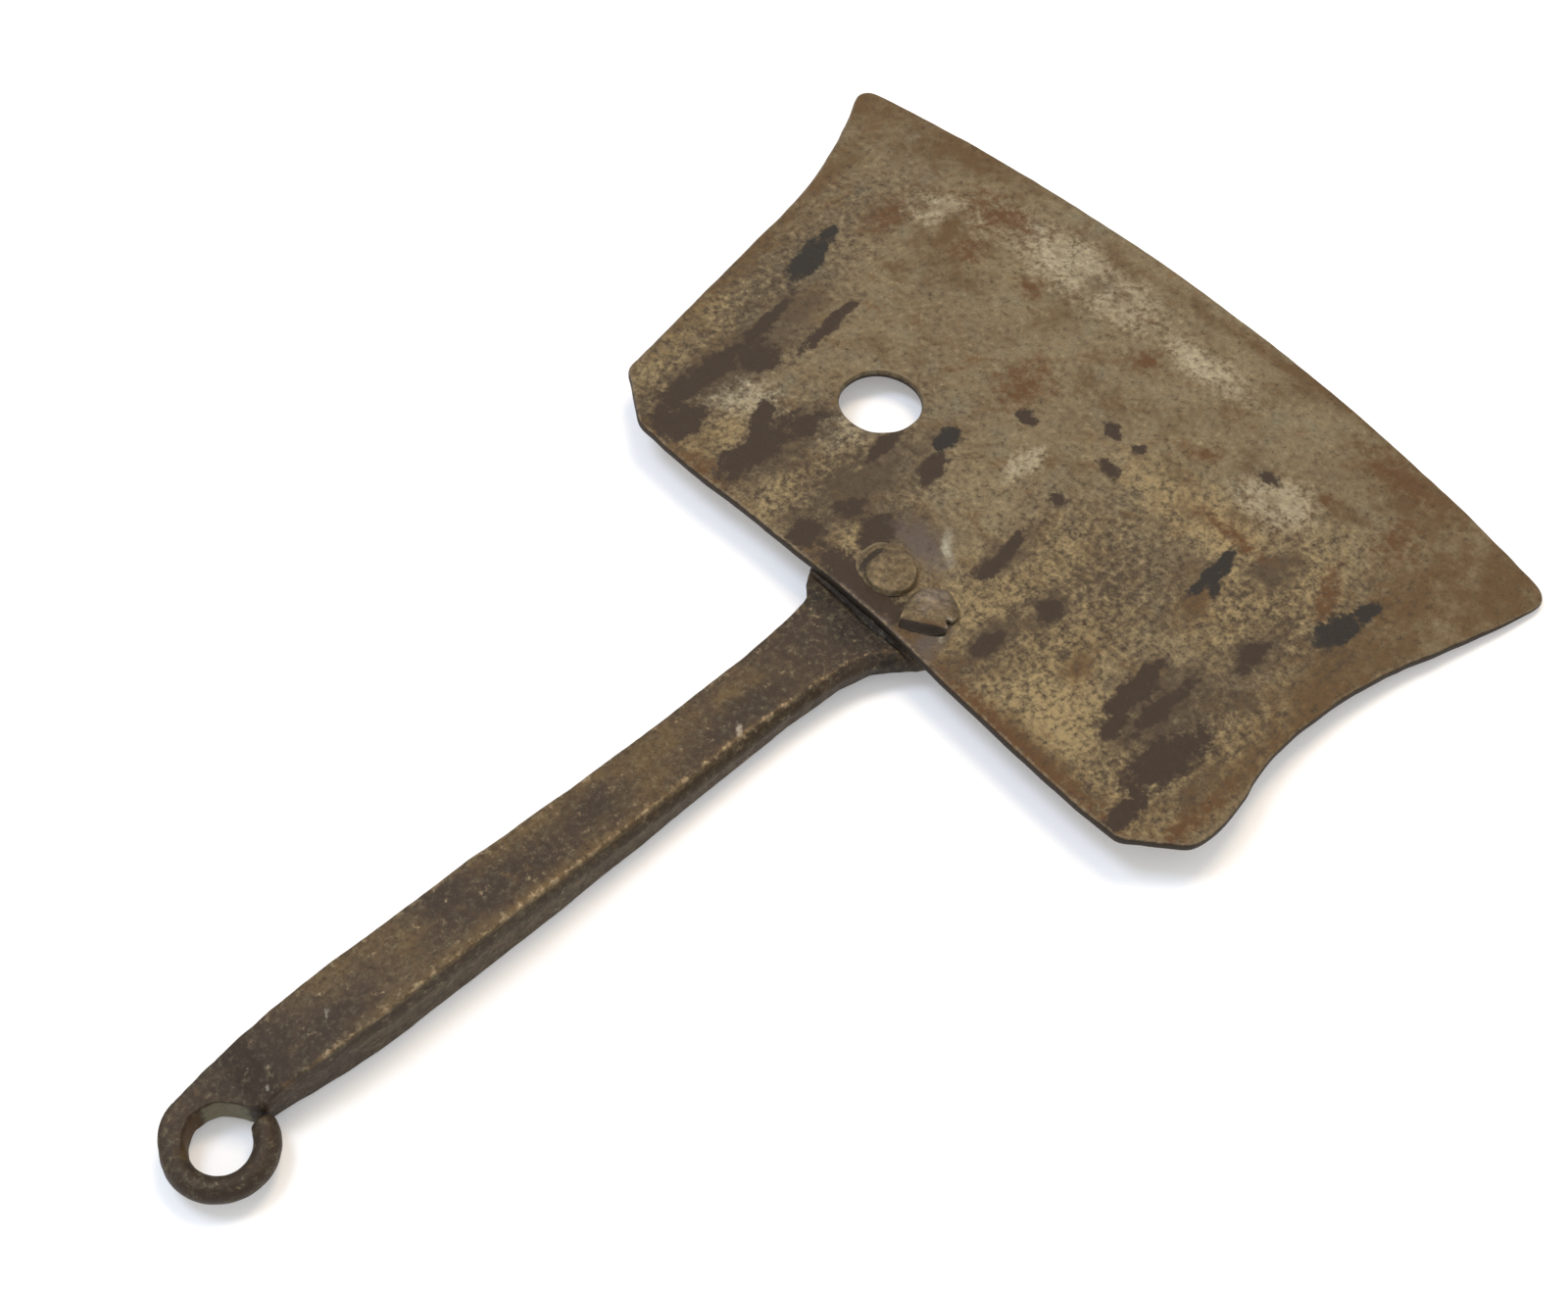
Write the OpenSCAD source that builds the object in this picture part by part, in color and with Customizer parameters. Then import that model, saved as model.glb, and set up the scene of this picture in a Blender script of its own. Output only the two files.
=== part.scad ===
// Hand-forged iron chopper: a wide flat blade riveted onto the flared palm
// of a one-piece bar handle that ends in a rolled hanging eye.
// X runs along the tool towards the cutting edge, Y to the left, Z up.
// It lies as it does on a table, on its cutting edge and on the thick of its grip.

/* [Blade] */
// Back edge to the middle of the cutting edge
blade_depth = 148.5; // [130:0.5:165]
// Thickness at the back edge
blade_t = 3; // [2:0.1:4]
// Thickness left at the cutting edge
edge_t = 0.8; // [0.4:0.1:1.5]
// Width of the ground bevels along the cutting edge
bevel_w = 24; // [12:1:40]
// Radius of the curved cutting edge
edge_r = 560; // [450:10:700]
// How far the middle of the cutting edge lies to the left
edge_mid = 24; // [10:1:28]
// Reach of the left horn from the middle of the handle's palm
left_reach = 141.5; // [138:0.5:146]
// Reach of the right horn
right_reach = 102.5; // [100:0.5:108]
// Tip radius of the left horn
left_horn_r = 4; // [2:0.5:6]
// Tip radius of the right horn
right_horn_r = 6; // [3:0.5:8]
// Left end of the back edge
back_left = 86; // [78:1:90]
// Right end of the back edge
back_right = 80; // [75:1:86]
// Hollow in the middle of the back edge
back_hollow = 2.7; // [0:0.1:4]
// Length of the cut-off back corners, along the tool
corner_x = 11; // [6:1:16]

/* [Hanging hole] */
// Diameter of the round hole in the blade
hang_d = 21.5; // [12:0.5:30]
// Distance from the back edge to the middle of the hole
hang_x = 53; // [40:1:70]
// Distance of the hole to the left
hang_y = 51; // [30:1:65]

/* [Handle] */
// Back edge of the blade to the middle of the eye
eye_reach = 191; // [175:1:210]
// Offset of the eye to the right
eye_shift = 1; // [0:0.5:3]
// Bore of the rolled eye
eye_d = 14; // [12:0.5:17]
// Outer diameter of the rolled eye
eye_outer_d = 26; // [25:0.5:32]
// Top of the rolled eye, above the table
eye_top = 9.5; // [8:0.5:12]
// Underside of the rolled eye, above the table
eye_lift = 1.5; // [0:0.5:2.5]
// Open seam between the rolled tip and the bar
seam_w = 0.6; // [0.3:0.1:1.5]
// Left side of the bar
bar_left = 14.5; // [13:0.5:16]
// Right side of the bar
bar_right = 4; // [3:0.5:5]
// Thickness of the bar at the grip
bar_t = 15.5; // [12:0.5:17]
// Thickness of the palm at the back edge of the blade
palm_t = 6; // [4:0.5:7]
// How far the palm runs under the blade
palm_l = 30; // [26:1:40]
// Left side of the palm
palm_left = 24.5; // [20:0.5:28]
// Right side of the palm
palm_right = 15; // [13:0.5:20]

/* [Rivets] */
// Shank diameter, both rivets
shank_d = 6.35; // [5:0.05:7]
// Diametral clearance of the rivet holes
shank_play = 0.1; // [0:0.05:0.3]
// Back edge to the middle of the rivets
rivet_x = 15; // [14:0.5:18]
// Left rivet, distance to the left
left_rivet_y = 8.2; // [7.8:0.1:12]
// Right rivet, distance to the right
right_rivet_y = 5.9; // [5.6:0.1:8]
// Head diameter of the left rivet
left_head_d = 13.6; // [10:0.1:14]
// Head diameter of the right rivet
right_head_d = 12.6; // [10:0.1:13]
// Head height
head_h = 2.2; // [1:0.1:3]
// Diameter of the hammered tail under the palm
tail_d = 10.5; // [9:0.5:12]
// Height of the hammered tail
tail_h = 1.8; // [1:0.1:2.2]
// Reach of the right head's squared side, from its middle
square_reach = 8.2; // [6.5:0.1:9]
// Direction that the squared side faces, from +X
square_dir = 212; // [180:1:240]

/* [Lie] */
// Slope of the blade down to its cutting edge
blade_slope = 4.2; // [3.8:0.1:5]

/* [Hidden] */
$fn = 96;

iron_brown = "#6e6455";
iron_dark = "#574b3e";
over = 1;
square_from = -6.8;
square_to = 4.3;

// The blade's own frame is its underside: x from the back edge, z = 0 below.
edge_lift = (blade_t - edge_t) / 2;
lift = blade_depth * sin(blade_slope) - edge_lift * cos(blade_slope);
edge_c = [blade_depth - edge_r, edge_mid];
left_horn_c = horn_c(left_reach - left_horn_r, left_horn_r);
right_horn_c = horn_c(right_horn_r - right_reach, right_horn_r);
left_edge_dir = horn_dir(left_horn_c);
right_edge_dir = horn_dir(right_horn_c);

// Middle of the whole tool's box, which the origin stands under.
far_x = blade_depth * cos(blade_slope) + (edge_lift + edge_t) * sin(blade_slope);
near_x = -eye_reach - eye_outer_d / 2;
mid = [(far_x + near_x) / 2, (left_reach - right_reach) / 2, 0];

function polar(r, a) = [r * cos(a), r * sin(a)];
function arc(c, r, from, to, steps) =
    [for (i = [0:steps]) c + polar(r, from + (to - from) * i / steps)];
function bend(a, b, c, steps) =
    [for (i = [0:steps]) let (t = i / steps)
        (1 - t) * (1 - t) * a + 2 * t * (1 - t) * b + t * t * c];
function horn_c(y, r) =
    [edge_c.x + sqrt(pow(edge_r - r, 2) - pow(y - edge_mid, 2)), y];
function horn_dir(c) = atan2(c.y - edge_c.y, c.x - edge_c.x);

// Left side: a straight run that flares into the horn.
left_corner = [corner_x, 101.8];
left_flare = [81, 118.5];
left_flare_dir = 122;
// Right side: a swelling, a shallow waist, then a flare into the horn.
right_corner = [corner_x, -92.8];
right_swell = [31, -92.2];
right_waist = [55, -88.1];
right_flare = [95, -93.7];
right_flare_dir = -92;

function blade_outline() = concat(
    [[0.9, back_left], [0.4, 72], [back_hollow, 20], [back_hollow, 0], [0.9, -27],
     [-0.5, -56], [-0.5, -back_right]],
    bend(right_corner, [18, -95.2], right_swell, 5),
    bend(right_swell, [41, right_waist.y], right_waist, 6),
    bend(right_waist, [76, right_waist.y], right_flare, 7),
    bend(right_flare, [112, -99],
         right_horn_c + polar(right_horn_r, right_flare_dir), 6),
    arc(right_horn_c, right_horn_r, right_flare_dir, right_edge_dir, 8),
    [right_horn_c + polar(3 * right_horn_r, right_edge_dir)],
    [left_horn_c + polar(5 * left_horn_r, left_edge_dir)],
    arc(left_horn_c, left_horn_r, left_edge_dir, left_flare_dir, 8),
    bend(left_horn_c + polar(left_horn_r, left_flare_dir), [106, 124.2],
         left_flare, 10),
    [left_corner]
);

// Where the palm's flare turns into its rounded end.
fan_x = 3;

// Plan of the handle without its eye: bar, flare and palm.
function handle_outline() = concat(
    [[-eye_reach, -eye_shift]],
    bend([12 - eye_reach, -2.5], [20 - eye_reach, -bar_right - 1.5],
         [34 - eye_reach, -bar_right - 0.6], 5),
    [[-95, -bar_right]],
    bend([-36, -bar_right], [-8, -bar_right], [fan_x, -palm_right], 8),
    [for (a = [165:-15:15])
        [fan_x + (palm_l - fan_x) * sin(a),
         (palm_left - palm_right) / 2 + (palm_left + palm_right) / 2 * cos(a)]],
    bend([fan_x, palm_left], [-4, bar_left + 0.8], [-26, bar_left + 0.5], 8),
    [[-62, bar_left - 0.5], [-118, bar_left], [17 - eye_reach, bar_left]],
    bend([8 - eye_reach, bar_left - 0.7], [-eye_reach, eye_outer_d / 2 - eye_shift],
         [-6 - eye_reach, eye_outer_d / 2 - eye_shift - 1.6], 4)
);

function under_blade(x) = lift - x * tan(blade_slope);

// Side view of the handle: height against distance along the tool.
function handle_profile() = [
    [-eye_reach - eye_outer_d, eye_lift],
    [10 - eye_reach, eye_lift],
    [23 - eye_reach, 0],
    [-112, 0],
    [-84, 0.6],
    [-30, 1.6],
    [-8, under_blade(-8) - palm_t - 1],
    [2, under_blade(2) - palm_t],
    [palm_l + over, under_blade(palm_l) - palm_t / 2],
    [palm_l + over, under_blade(palm_l + over)],
    [-3, under_blade(-3)],
    [-6, under_blade(0) - 0.4],
    [-30, bar_t - 4.6],
    [-60, bar_t - 4],
    [-90, bar_t - 2],
    [-112, bar_t],
    [36 - eye_reach, bar_t],
    [17 - eye_reach, bar_t - 2.5],
    [9 - eye_reach, eye_top],
    [-eye_reach - eye_outer_d, eye_top]
];

module place() {
    translate(-mid) children();
}

// Puts a piece drawn in the blade's frame onto the sloping blade.
module on_blade() {
    place() translate([0, 0, lift]) rotate([0, blade_slope, 0]) children();
}

module rivet_hole(y) {
    translate([rivet_x, y, -palm_t - 4]) cylinder(d = shank_d + shank_play, h = 20);
}

module blade() {
    color(iron_brown) on_blade() difference() {
        intersection() {
            translate([0, 0, -over]) linear_extrude(blade_t + 2 * over)
                polygon(blade_outline());
            translate(edge_c) rotate_extrude($fn = 360) polygon([
                [0, 0],
                [edge_r - bevel_w, 0],
                [edge_r, edge_lift],
                [edge_r, edge_lift + edge_t],
                [edge_r - bevel_w, blade_t],
                [0, blade_t]
            ]);
        }
        translate([hang_x, hang_y, -over]) cylinder(d = hang_d, h = blade_t + 2 * over);
        rivet_hole(left_rivet_y);
        rivet_hole(-right_rivet_y);
    }
}

module handle() {
    color(iron_dark) difference() {
        place() difference() {
            intersection() {
                linear_extrude(2 * bar_t) union() {
                    polygon(handle_outline());
                    translate([-eye_reach, -eye_shift]) circle(d = eye_outer_d);
                }
                translate([0, 2 * palm_left, 0]) rotate([90, 0, 0])
                    linear_extrude(4 * palm_left) polygon(handle_profile());
            }
            translate([-eye_reach, -eye_shift, -over])
                cylinder(d = eye_d, h = 2 * bar_t);
            translate([-eye_reach, -eye_shift, -over]) rotate(-20)
                translate([eye_d / 2 - over, -seam_w / 2, 0])
                    cube([eye_outer_d / 2, seam_w, 2 * bar_t]);
        }
        on_blade() {
            rivet_hole(left_rivet_y);
            rivet_hole(-right_rivet_y);
        }
    }
}

// Shank, hammered head and hammered tail in one turned solid.
module rivet(head_d) {
    palm_at_rivet = palm_t * (1 - rivet_x / (2 * palm_l));
    rotate_extrude() polygon([
        [0, -palm_at_rivet - tail_h],
        [tail_d / 2 - 2, -palm_at_rivet - tail_h],
        [tail_d / 2, -palm_at_rivet],
        [shank_d / 2, -palm_at_rivet],
        [shank_d / 2, blade_t],
        [head_d / 2, blade_t],
        [head_d / 2 - 0.6, blade_t + head_h / 2],
        [head_d / 2 - 2, blade_t + head_h],
        [0, blade_t + head_h]
    ]);
}

module left_rivet() {
    color(iron_brown) on_blade() translate([rivet_x, left_rivet_y, 0])
        rivet(left_head_d);
}

// The right head spread to a straight, square side when it was hammered down.
module right_rivet() {
    color(iron_brown) on_blade() translate([rivet_x, -right_rivet_y, 0]) {
        rivet(right_head_d);
        rotate(square_dir) translate([0, 0, blade_t]) linear_extrude(head_h - 0.4) polygon([
            [0, 1.2 - right_head_d / 2],
            [square_reach, square_from],
            [square_reach, square_to],
            [0, right_head_d / 2 - 1.2]
        ]);
    }
}

blade();
handle();
left_rivet();
right_rivet();
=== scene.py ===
# %% [markdown]
# # A hand-forged iron chopper
# A wide blade is riveted onto the flared palm of a bar handle, and the bar's end is
# curled into an eye to hang it by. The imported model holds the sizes. This lesson builds
# the looks around it: four pieces, each one a closed mesh made in code, and each with
# a finish that starts from what the real iron went through.

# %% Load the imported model
import math

import bmesh
import bpy
import numpy as np
from mathutils import Matrix, Vector, noise
from mathutils.geometry import delaunay_2d_cdt


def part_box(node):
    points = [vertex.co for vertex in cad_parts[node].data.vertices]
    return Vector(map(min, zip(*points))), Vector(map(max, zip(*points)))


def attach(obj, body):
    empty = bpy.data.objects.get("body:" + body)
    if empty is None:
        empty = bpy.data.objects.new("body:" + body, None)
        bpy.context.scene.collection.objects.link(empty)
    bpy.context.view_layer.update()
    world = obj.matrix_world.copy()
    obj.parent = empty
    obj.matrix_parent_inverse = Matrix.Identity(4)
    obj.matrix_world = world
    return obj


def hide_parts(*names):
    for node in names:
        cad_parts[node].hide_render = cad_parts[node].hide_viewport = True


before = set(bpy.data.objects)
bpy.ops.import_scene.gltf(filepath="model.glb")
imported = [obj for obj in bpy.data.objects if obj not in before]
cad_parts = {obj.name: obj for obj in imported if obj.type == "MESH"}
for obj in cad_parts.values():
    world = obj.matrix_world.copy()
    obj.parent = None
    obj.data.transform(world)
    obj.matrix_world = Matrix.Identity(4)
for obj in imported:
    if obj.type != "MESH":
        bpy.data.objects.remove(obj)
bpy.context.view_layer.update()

# %% [markdown]
# ## One ruler for everything
# The shapes below are thought of in millimetres, from the middle of the blade's back
# edge: X runs along the tool to the cutting edge, Y to the left and Z up. Blender works
# in metres around the tool's own middle, so one matrix takes the one to the other. It is
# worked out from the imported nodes: the eye's far end and the right horn give its place.

# %% Where the tool lies
MM = 0.001
# The blade, in mm: back to edge, thickness, thickness of the edge, width of the
# thinning behind it, radius of the edge, and where its deepest point is along Y.
BLADE_DEPTH = 148.5
BLADE_T = 3.0
EDGE_T = 0.8
BEVEL_W = 24.0
EDGE_R = 560.0
EDGE_MID = 24.0
# How far the horns reach to each side, and how far back the eye's middle is.
LEFT_REACH = 141.5
RIGHT_REACH = 102.5
EYE_REACH = 191.0
EYE_OUTER_R = 13.0
# The blade slopes down to its edge, while the handle lies level.
SLOPE = math.radians(4.2)

handle_low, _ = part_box("handle")
blade_low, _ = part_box("blade")
to_row = Matrix.Translation((
    handle_low.x + (EYE_REACH + EYE_OUTER_R) * MM,
    blade_low.y + RIGHT_REACH * MM,
    0,
)) @ Matrix.Scale(MM, 4)

# The blade lies on its cutting edge, so its back edge stands this high.
edge_lift = (BLADE_T - EDGE_T) / 2
LIFT = BLADE_DEPTH * math.sin(SLOPE) - edge_lift * math.cos(SLOPE)
blade_to_row = to_row @ Matrix.Translation((0, 0, LIFT)) @ Matrix.Rotation(SLOPE, 4, "Y")
print("the back edge's middle is at", tuple(round(v, 4) for v in blade_to_row.translation))

# %% [markdown]
# ## Small tools
# Outlines are points joined by arcs and by bends, which are curves pulled towards a
# middle point. Curve objects could give the same lines, but plain points are easy to
# count, move and join up later. Worn iron has no straight line left in it, so a smooth
# noise moves points by fractions of a millimetre. It is the same on each run.

# %% Arcs, bends and unevenness
def polar(radius, degrees):
    angle = math.radians(degrees)
    return np.array([radius * math.cos(angle), radius * math.sin(angle)])


def arc(centre, radius, start, end, steps):
    return [centre + polar(radius, a) for a in np.linspace(start, end, steps + 1)]


def bend(a, b, c, steps):
    a, b, c = (np.array(p, float) for p in (a, b, c))
    return [(1 - t) ** 2 * a + 2 * t * (1 - t) * b + t * t * c
            for t in np.linspace(0, 1, steps + 1)]


SEED_SHIFT = (17.3, 5.1, 9.7)


def uneven(point, size, seed=0):
    """Smooth noise from -1 to 1 whose bumps are about `size` mm across."""
    p = Vector((*point, 0)[:3]) / size
    return noise.noise(p + Vector([seed * shift for shift in SEED_SHIFT]))


def ease(low, high, value):
    """0 at low and 1 at high, with soft ends; low may be the larger one."""
    t = min(max((value - low) / (high - low), 0), 1)
    return t * t * (3 - 2 * t)


# %% [markdown]
# ## Turning points into a piece
# Every piece goes through one function. It takes points in millimetres and faces by
# their numbers, builds them with bmesh, makes the faces look outwards, and keeps
# named values on the points, which the finishes read: how worn an edge is, for one.
# The same could be done with Blender's own shapes and a stack of modifiers, but then the
# points would have no fixed order, and the values could not be given to them.

# %% Build a mesh piece
def make_piece(name, points, faces, place, marks):
    mesh = bpy.data.meshes.new(name)
    shape = bmesh.new()
    corners = [shape.verts.new(place @ Vector(p)) for p in points]
    for face in faces:
        shape.faces.new([corners[i] for i in face])
    bmesh.ops.recalc_face_normals(shape, faces=shape.faces)
    # On a thin plate this can leave all faces looking inwards: the volume is then negative.
    if shape.calc_volume(signed=True) < 0:
        bmesh.ops.reverse_faces(shape, faces=shape.faces)
    shape.to_mesh(mesh)
    shape.free()
    for mark, values in marks.items():
        layer = mesh.attributes.new(mark, "FLOAT", "POINT")
        layer.data.foreach_set("value", np.array(values, np.float32))
    mesh.shade_smooth()
    piece = bpy.data.objects.new(name, mesh)
    bpy.context.scene.collection.objects.link(piece)
    print(name, "has", len(points), "points and", len(faces), "faces")
    return piece


def strip(first, second, count):
    """The faces between two closed rings of the same number of points."""
    return [(first + i, first + (i + 1) % count, second + (i + 1) % count, second + i)
            for i in range(count)]


# %% [markdown]
# ## The blade's outline
# The smith cut the blade from sheet and drew its two horns out by eye, so the left one
# is longer and no two sides match. A dense drawn line would be hard to change. The outline
# here has only the points that this shape needs, and the cutting edge is one long arc.

# %% Outline of the blade
edge_centre = np.array([BLADE_DEPTH - EDGE_R, EDGE_MID])
LEFT_HORN_R = 4.0
RIGHT_HORN_R = 6.0


def horn_centre(y, radius):
    """The middle of a horn's rounding, which touches the cutting edge from inside."""
    return np.array([edge_centre[0] + math.sqrt((EDGE_R - radius) ** 2
                                                - (y - EDGE_MID) ** 2), y])


def horn_end(centre):
    """Where that rounding meets the edge, in degrees."""
    return math.degrees(math.atan2(centre[1] - edge_centre[1], centre[0] - edge_centre[0]))


left_horn = horn_centre(LEFT_REACH - LEFT_HORN_R, LEFT_HORN_R)
right_horn = horn_centre(RIGHT_HORN_R - RIGHT_REACH, RIGHT_HORN_R)
# It runs anticlockwise: the back edge, the right side, the cutting edge, the left side.
outline = (
    [(0.9, 86), (0.4, 72), (2.7, 20), (2.7, 0), (0.9, -27), (-0.5, -56), (-0.5, -80)]
    + bend((11, -92.8), (18, -95.2), (31, -92.2), 5)
    + bend((31, -92.2), (41, -88.1), (55, -88.1), 6)[1:]
    + bend((55, -88.1), (76, -88.1), (95, -93.7), 7)[1:]
    + bend((95, -93.7), (112, -99), right_horn + polar(RIGHT_HORN_R, -92), 6)[1:]
    + arc(right_horn, RIGHT_HORN_R, -92, horn_end(right_horn), 8)[1:]
    + arc(edge_centre, EDGE_R, horn_end(right_horn), horn_end(left_horn), 40)[1:]
    + arc(left_horn, LEFT_HORN_R, horn_end(left_horn), 122, 8)[1:]
    + bend(left_horn + polar(LEFT_HORN_R, 122), (106, 124.2), (81, 118.5), 10)[1:]
    + [(11, 101.8)]
)
print("the outline has", len(outline), "points")


# %% Even points, pushed in and out by wear
def walk(loop, spacing):
    """Points at even steps along a closed line."""
    loop = np.array([*loop, loop[0]], float)
    way = np.concatenate([[0], np.cumsum(np.hypot(*np.diff(loop, axis=0).T))])
    count = round(way[-1] / spacing)
    steps = np.arange(count) * way[-1] / count
    return np.column_stack([np.interp(steps, way, loop[:, k]) for k in (0, 1)])


def outward(loop):
    """The direction out of a closed line that runs anticlockwise, at each point."""
    along = np.roll(loop, -1, axis=0) - np.roll(loop, 1, axis=0)
    along /= np.hypot(*along.T)[:, None]
    return np.column_stack([along[:, 1], -along[:, 0]])


POINT_STEP = 1.2
SOFTENINGS = 3
RIM_INSET = 0.15
rim = walk(outline, POINT_STEP)
for _ in range(SOFTENINGS):
    rim = (np.roll(rim, 1, axis=0) + 2 * rim + np.roll(rim, -1, axis=0)) / 4
waves = [0.25 * uneven(p, 13, 1) + 0.16 * uneven(p, 4.5, 2) for p in rim]
rim = rim - outward(rim) * (RIM_INSET + np.array(waves))[:, None]

HOLE_AT = (53.0, 51.0)
HOLE_R = 10.75
HOLE_POINTS = 56
hole = np.array(arc(np.array(HOLE_AT), HOLE_R, 0, -360, HOLE_POINTS)[:-1])
hole += outward(hole) * np.array([[0.18 * uneven(p, 5, 3)] for p in hole])
print("the rim has", len(rim), "points and the hole", len(hole))

# %% [markdown]
# ## The blade's body
# The faces could be cut from a block with booleans, but then the rims would stay razor
# sharp and have no points to wear down. Here rings of points roll over each rim, from
# the top face to the underside, and a net of triangles fills each face. The plate thins
# towards the cutting edge, and hammering left it gently uneven.

# %% Thickness and hammering
FACE_INSET = 0.1


def thickness(x, y):
    inside = EDGE_R - math.hypot(x - edge_centre[0], y - edge_centre[1])
    return EDGE_T + (BLADE_T - EDGE_T) * min(max(inside / BEVEL_W, 0), 1)


def blade_height(x, y, side):
    """Height of the top face (side 1) or of the underside (side -1)."""
    t = thickness(x, y)
    share = t / BLADE_T
    warp = 0.25 * uneven((x, y), 70, 4) * share
    # The two faces were hammered apart, so each reads the noise at its own level.
    spot = (x, y, side * 9)
    hammered = 0.14 * uneven(spot, 22, 5) + 0.07 * uneven(spot, 8, 6)
    pitted = 0.05 * uneven(spot, 2.6, 7)
    return BLADE_T / 2 + side * t / 2 + warp + (hammered + pitted - FACE_INSET * side) * share


middle_t, edge_t = thickness(60, 0), thickness(BLADE_DEPTH, EDGE_MID)
print("the plate is", round(middle_t, 2), "mm thick and", round(edge_t, 2), "at its edge")

# %% Rings that roll over a rim
# Degrees turned over the rim, then how much that ring is rubbed line and dark side. The
# first one, at -1, still lies on the flat face.
RIM_TURNS = {-1: (0.0, 0.0), 0: (0.5, 0.0), 30: (1.0, 0.0), 60: (0.5, 0.6), 90: (0.0, 1.0)}
FLAT_RING = 0.8


def rolled_rim(loop, round_r, top_dark=1.0):
    """Rings from the top face to the underside, with their rubbed line and dark side.

    top_dark is how dark the upper half of the side is. The hole's upper half is kept light, so
    only its lower wall is dark: painted shade under the plate.
    """
    out = outward(loop)
    rings, wear = [], []
    for side in (1, -1):
        half = []
        for turn in RIM_TURNS:
            ring = []
            for (x, y), away in zip(loop, out):
                t = thickness(x, y)
                r = min(round_r, 0.48 * t)
                inset = r + FLAT_RING if turn < 0 else r * (1 - math.sin(math.radians(turn)))
                drop = 0 if turn < 0 else r * (1 - math.cos(math.radians(turn)))
                px, py = x - away[0] * inset, y - away[1] * inset
                ring.append((px, py, blade_height(px, py, side) - side * drop))
            half.append(ring)
        shade = top_dark if side > 0 else 1.0
        turns = [(line, dark * shade) for line, dark in RIM_TURNS.values()]
        rings += half if side > 0 else half[::-1]
        wear += turns if side > 0 else turns[::-1]
    return rings, wear


RIM_ROUND, HOLE_ROUND = 0.9, 0.7
rim_rings, rim_wear = rolled_rim(rim, RIM_ROUND)
# The hole's wall is light above and dark below: the dark lower half is painted shade under the
# plate.
hole_rings, hole_wear_and_painted_shade = rolled_rim(hole, HOLE_ROUND, top_dark=0.0)
print("each rim rolls over in", len(rim_rings), "rings")

# %% A net of triangles between two rings
ROW_STEP = 0.866
NET_SHAKE = 0.2
BORDER_GAP = 0.75


def fill_face(rings, spacing, seed):
    """The extra points and the faces between the rim's ring and the hole's."""
    flat = [np.array(r)[:, :2] for r in rings]
    border = np.concatenate(flat)
    low, high = border.min(0), border.max(0)
    shake = np.random.default_rng(seed)
    grid = [(x + (row % 2) * spacing / 2, y)
            for row, y in enumerate(np.arange(low[1], high[1], spacing * ROW_STEP))
            for x in np.arange(low[0], high[0], spacing)]
    grid = np.array(grid) + shake.uniform(-NET_SHAKE, NET_SHAKE, (len(grid), 2)) * spacing
    # A line from a point inside the plate crosses the rings an odd number of times.
    keep = np.zeros(len(grid), bool)
    for ring in flat:
        a, b = ring, np.roll(ring, -1, axis=0)
        for (ax, ay), (bx, by) in zip(a, b):
            if ay != by:
                spans = (ay > grid[:, 1]) != (by > grid[:, 1])
                crossing = ax + (grid[:, 1] - ay) * (bx - ax) / (by - ay)
                keep ^= spans & (grid[:, 0] < crossing)
    grid = grid[keep]
    near = np.array([np.hypot(*(border - p).T).min() for p in grid])
    grid = grid[near > BORDER_GAP * spacing]
    links = []
    start = 0
    for ring in flat:
        links += [(start + i, start + (i + 1) % len(ring)) for i in range(len(ring))]
        start += len(ring)
    corners = [Vector(p) for p in np.concatenate([border, grid])]
    _, _, faces, sources, _, _ = delaunay_2d_cdt(corners, links, [], 2, 1e-7)
    number = [s[0] for s in sources]
    numbered = [[number[i] for i in face] for face in faces]
    # A face whose corners are all on the inner ring would close the hole: it goes.
    inner = set(range(len(flat[0]), len(border)))
    return grid, [face for face in numbered if not inner.issuperset(face)]


NET_SPACING = 1.35
NET_SEED = 11
net, net_faces = fill_face([rim_rings[0], hole_rings[0]], NET_SPACING, NET_SEED)
print("the net has", len(net), "points of its own and", len(net_faces), "faces")

# %% Close the blade
points, faces = [], []
first_rim, first_hole = [], []
edge_line, edge_side = [], []
for rings, wear, firsts in ((rim_rings, rim_wear, first_rim),
                            (hole_rings, hole_wear_and_painted_shade, first_hole)):
    for ring, (line, side_darkening) in zip(rings, wear):
        firsts.append(len(points))
        points += ring
        edge_line += [line] * len(ring)
        edge_side += [side_darkening] * len(ring)
    for above, below in zip(firsts, firsts[1:]):
        faces += strip(above, below, len(rings[0]))
for side, k in ((1, 0), (-1, -1)):
    start = len(points)
    points += [(x, y, blade_height(x, y, side)) for x, y in net]
    names = ([first_rim[k] + i for i in range(len(rim))]
             + [first_hole[k] + i for i in range(len(hole))]
             + [start + i for i in range(len(net))])
    faces += [[names[i] for i in face] for face in net_faces]
edge_line += [0.0] * (len(points) - len(edge_line))
edge_side += [0.0] * (len(points) - len(edge_side))
print("the closed plate has", len(points), "points and", len(faces), "faces")

# %% [markdown]
# ## What happened to the blade
# Spots, bands and rubbed patches lie where the blade was handled, wiped and left damp.
# Noise alone would put them anywhere, and painting them on would need a picture. Here
# each is an oval: its middle, length, width and turn, in mm and degrees. A mark's value
# is 1 in the middle of an oval, 0 on its line and below 0 outside. The finish roughens
# that line later, so the ovals can stay simple.

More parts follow.
